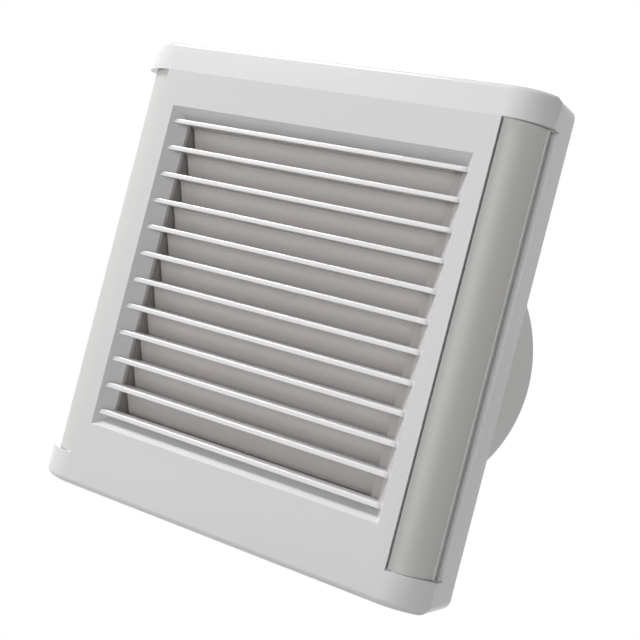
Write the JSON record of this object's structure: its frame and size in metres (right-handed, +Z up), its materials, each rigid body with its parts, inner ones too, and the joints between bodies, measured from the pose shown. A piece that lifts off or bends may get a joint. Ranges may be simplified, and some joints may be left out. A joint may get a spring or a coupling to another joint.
{
  "type": "window exhaust fan",
  "caption": "Square louvred wall or window exhaust fan with a linked back-draught shutter, satin side trim strips and a motor and impeller in a round duct sleeve.",
  "frame": {"origin": "on the duct axis, in the plane where the back plate meets the wall", "axes": "+X to the right seen from the room, +Y from the room into the duct, +Z up"},
  "size_m": [0.198, 0.134, 0.206],
  "materials": {
    "white_abs": "glossy moulded ABS",
    "trim_pearl": "satin pearl",
    "shutter_grey": "satin grey",
    "housing_white": "satin moulded ABS",
    "impeller_white": "satin polypropylene",
    "zinc_steel": "zinc plated",
    "core_steel": "stamped laminations",
    "winding_copper": "enamelled copper",
    "bushing_bronze": "sintered bronze",
    "screw_zinc": "bright zinc",
    "terminal_white": "polyamide",
    "grommet_rubber": "black rubber"
  },
  "bodies": {
    "housing": {"front_cover": "white_abs", "left_trim_strip": "trim_pearl", "right_trim_strip": "trim_pearl", "base_housing": "housing_white", "duct_sleeve": "housing_white", "motor_mount": "housing_white", "shutter_frame": "shutter_grey", "actuator_body": "terminal_white", "motor_can": "zinc_steel", "motor_end_bell": "zinc_steel", "stator_core": "core_steel", "stator_coils": "winding_copper", "front_bushing": "bushing_bronze", "rear_bushing": "bushing_bronze", "motor_screws": "screw_zinc", "frame_screws": "screw_zinc", "terminal_block": "terminal_white", "terminal_screws": "bushing_bronze", "cable_grommet": "grommet_rubber"},
    "fan_rotor": {"motor_shaft": "zinc_steel", "rotor_core": "core_steel", "impeller": "impeller_white", "impeller_nut": "screw_zinc"},
    "flap_01": {"flap_01": "shutter_grey"},
    "flap_02": {"flap_02": "shutter_grey"},
    "flap_03": {"flap_03": "shutter_grey"},
    "flap_04": {"flap_04": "shutter_grey"},
    "flap_05": {"flap_05": "shutter_grey"},
    "flap_06": {"flap_06": "shutter_grey"},
    "flap_07": {"flap_07": "shutter_grey"},
    "flap_08": {"flap_08": "shutter_grey"},
    "flap_09": {"flap_09": "shutter_grey"},
    "flap_10": {"flap_10": "shutter_grey"},
    "flap_11": {"flap_11": "shutter_grey"},
    "shutter_link": {"shutter_link": "shutter_grey"},
    "actuator_plunger": {"actuator_plunger": "zinc_steel"}
  },
  "joints": [
    {"name": "fan_spin", "type": "hinge", "parent": "housing", "child": "fan_rotor", "pos_m": [0, 0.02, 0], "axis": [0, 1, 0], "continuous": true},
    {"name": "flap_01_hinge", "type": "hinge", "parent": "housing", "child": "flap_01", "pos_m": [0, -0.0191, 0.0779], "axis": [1, 0, 0], "range_deg": [-19, 50]},
    {"name": "flap_02_hinge", "type": "hinge", "parent": "housing", "child": "flap_02", "pos_m": [0, -0.0191, 0.0657], "axis": [1, 0, 0], "range_deg": [-19, 50]},
    {"name": "flap_03_hinge", "type": "hinge", "parent": "housing", "child": "flap_03", "pos_m": [0, -0.0191, 0.0535], "axis": [1, 0, 0], "range_deg": [-19, 50]},
    {"name": "flap_04_hinge", "type": "hinge", "parent": "housing", "child": "flap_04", "pos_m": [0, -0.0191, 0.0413], "axis": [1, 0, 0], "range_deg": [-19, 50]},
    {"name": "flap_05_hinge", "type": "hinge", "parent": "housing", "child": "flap_05", "pos_m": [0, -0.0191, 0.0291], "axis": [1, 0, 0], "range_deg": [-19, 50]},
    {"name": "flap_06_hinge", "type": "hinge", "parent": "housing", "child": "flap_06", "pos_m": [0, -0.0191, 0.0169], "axis": [1, 0, 0], "range_deg": [-19, 50]},
    {"name": "flap_07_hinge", "type": "hinge", "parent": "housing", "child": "flap_07", "pos_m": [0, -0.0191, 0.0047], "axis": [1, 0, 0], "range_deg": [-19, 50]},
    {"name": "flap_08_hinge", "type": "hinge", "parent": "housing", "child": "flap_08", "pos_m": [0, -0.0191, -0.0075], "axis": [1, 0, 0], "range_deg": [-19, 50]},
    {"name": "flap_09_hinge", "type": "hinge", "parent": "housing", "child": "flap_09", "pos_m": [0, -0.0191, -0.0197], "axis": [1, 0, 0], "range_deg": [-19, 50]},
    {"name": "flap_10_hinge", "type": "hinge", "parent": "housing", "child": "flap_10", "pos_m": [0, -0.0191, -0.0319], "axis": [1, 0, 0], "range_deg": [-19, 50]},
    {"name": "flap_11_hinge", "type": "hinge", "parent": "housing", "child": "flap_11", "pos_m": [0, -0.0191, -0.0441], "axis": [1, 0, 0], "range_deg": [-19, 50]},
    {"name": "link_pivot", "type": "hinge", "parent": "flap_01", "child": "shutter_link", "pos_m": [0.0664, -0.01235, 0.07603], "axis": [1, 0, 0], "range_deg": [-50, 19]},
    {"name": "plunger_slide", "type": "slide", "parent": "housing", "child": "actuator_plunger", "axis": [0, 0, 1], "range_m": [-0.00218, 0.00574]}
  ],
  "couplings": [
    {"joint": "flap_01_hinge", "follows": "plunger_slide", "rad_per_m": 151.86},
    {"joint": "flap_02_hinge", "follows": "plunger_slide", "rad_per_m": 151.86},
    {"joint": "flap_03_hinge", "follows": "plunger_slide", "rad_per_m": 151.86},
    {"joint": "flap_04_hinge", "follows": "plunger_slide", "rad_per_m": 151.86},
    {"joint": "flap_05_hinge", "follows": "plunger_slide", "rad_per_m": 151.86},
    {"joint": "flap_06_hinge", "follows": "plunger_slide", "rad_per_m": 151.86},
    {"joint": "flap_07_hinge", "follows": "plunger_slide", "rad_per_m": 151.86},
    {"joint": "flap_08_hinge", "follows": "plunger_slide", "rad_per_m": 151.86},
    {"joint": "flap_09_hinge", "follows": "plunger_slide", "rad_per_m": 151.86},
    {"joint": "flap_10_hinge", "follows": "plunger_slide", "rad_per_m": 151.86},
    {"joint": "flap_11_hinge", "follows": "plunger_slide", "rad_per_m": 151.86},
    {"joint": "link_pivot", "follows": "plunger_slide", "rad_per_m": -151.86}
  ]
}
